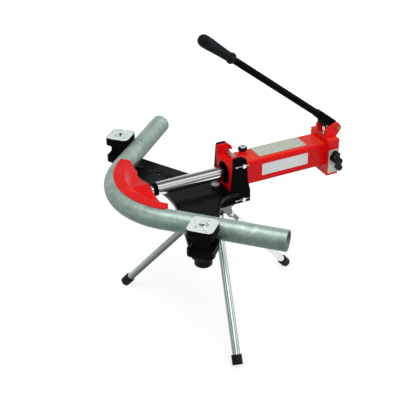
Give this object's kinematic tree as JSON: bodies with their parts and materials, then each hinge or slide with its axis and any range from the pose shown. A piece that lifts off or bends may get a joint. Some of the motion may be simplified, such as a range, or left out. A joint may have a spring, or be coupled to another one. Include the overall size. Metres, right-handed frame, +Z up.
{
  "type": "hydraulic pipe bender",
  "caption": "Hand-pumped hydraulic pipe bender on a folding tripod, with a ram, a grooved former and turning support blocks on a swept wing plate.",
  "frame": {"origin": "on the floor, on the axis of the bolt that holds the tripod under the wing plate", "axes": "+X along the ram to the pump, +Y across to the far wing, +Z up"},
  "size_m": [0.7503, 0.8438, 0.9233],
  "materials": {
    "black_paint": "satin black paint",
    "red_paint": "gloss red paint",
    "black_iron": "black cast iron with bare machined top",
    "chrome": "hard chrome, ground",
    "black_steel": "blackened steel",
    "steel": "bare steel",
    "zinc": "zinc plated",
    "galvanised": "galvanised",
    "bronze": "bearing bronze",
    "rubber": "black rubber",
    "black_plastic": "black moulded plastic"
  },
  "bodies": {
    "frame": {"wing_plate": "black_paint", "side_plate_near": "black_paint", "side_plate_far": "black_paint", "pump_head": "red_paint", "gland_nut": "black_steel", "wiper_seal": "rubber", "ram_bush": "bronze", "cylinder_barrel": "steel", "tank_casing": "red_paint", "filler_neck": "red_paint", "pump_block": "red_paint", "plunger_gland": "steel", "lever_yoke": "red_paint", "lever_pivot_pin": "zinc", "release_gland": "black_steel", "upper_cross_pin": "zinc", "lower_cross_pin": "zinc", "pin_clips": "zinc", "tripod_plate": "galvanised", "tripod_spacer": "galvanised", "tripod_bolt": "zinc", "tripod_nut": "zinc", "leg_bracket_rear": "galvanised", "leg_bracket_far": "galvanised", "leg_bracket_near": "galvanised", "leg_bolts": "zinc", "support_pin_near": "black_iron", "support_pin_far": "black_iron"},
    "ram": {"ram_rod": "chrome", "ram_collar": "black_steel", "piston": "steel", "piston_seal": "rubber", "piston_nut": "steel", "bending_former": "red_paint", "sample_pipe": "galvanised"},
    "block_near": {"support_block_near": "black_iron"},
    "block_far": {"support_block_far": "black_iron"},
    "lever": {"lever_socket": "black_steel", "lever_tube": "black_steel", "lever_grip": "rubber"},
    "plunger": {"pump_plunger": "chrome", "plunger_pin": "steel"},
    "release_valve": {"release_spindle": "steel", "release_knob": "black_plastic"},
    "filler": {"filler_cap": "black_plastic", "vent_button": "zinc", "cap_seal": "rubber"},
    "leg_rear": {"leg_tube_rear": "galvanised", "leg_foot_rear": "rubber"},
    "leg_far": {"leg_tube_far": "galvanised", "leg_foot_far": "rubber"},
    "leg_near": {"leg_tube_near": "galvanised", "leg_foot_near": "rubber"}
  },
  "joints": [
    {"name": "ram_slide", "type": "slide", "parent": "frame", "child": "ram", "axis": [1, 0, 0], "range_m": [0, 0.2]},
    {"name": "near_block_turn", "type": "hinge", "parent": "frame", "child": "block_near", "pos_m": [-0.1851, -0.2974, 0.475], "axis": [0, 0, 1], "range_deg": [-45, 0]},
    {"name": "far_block_turn", "type": "hinge", "parent": "frame", "child": "block_far", "pos_m": [-0.1851, 0.2974, 0.475], "axis": [0, 0, 1], "range_deg": [0, 45]},
    {"name": "lever_swing", "type": "hinge", "parent": "frame", "child": "lever", "pos_m": [0.401, -0.01, 0.5555], "axis": [0, 1, 0], "range_deg": [-30, 12]},
    {"name": "plunger_slide", "type": "slide", "parent": "frame", "child": "plunger", "axis": [0, 0, 1], "range_m": [-0.0155, 0.0065]},
    {"name": "release_valve_turn", "type": "hinge", "parent": "frame", "child": "release_valve", "pos_m": [0.376, -0.06, 0.47], "axis": [0, -1, 0], "range_deg": [0, 270]},
    {"name": "filler_cap_turn", "type": "hinge", "parent": "frame", "child": "filler", "pos_m": [0.099, 0.014, 0.53], "axis": [0, 0, 1], "range_deg": [0, 360]},
    {"name": "leg_rear_fold", "type": "hinge", "parent": "frame", "child": "leg_rear", "pos_m": [0.05218, 0.01388, 0.3213], "axis": [-0.2571, 0.9664, 0], "range_deg": [0, 38]},
    {"name": "leg_far_fold", "type": "hinge", "parent": "frame", "child": "leg_far", "pos_m": [-0.03812, 0.03825, 0.3213], "axis": [-0.7083, -0.7059, 0], "range_deg": [0, 38]},
    {"name": "leg_near_fold", "type": "hinge", "parent": "frame", "child": "leg_near", "pos_m": [-0.01407, -0.05214, 0.3213], "axis": [0.9655, -0.2605, 0], "range_deg": [0, 38]}
  ],
  "couplings": [
    {"joint": "near_block_turn", "follows": "ram_slide", "rad_per_m": -3.92},
    {"joint": "far_block_turn", "follows": "ram_slide", "rad_per_m": 3.92},
    {"joint": "plunger_slide", "follows": "lever_swing", "m_per_rad": 0.028}
  ]
}
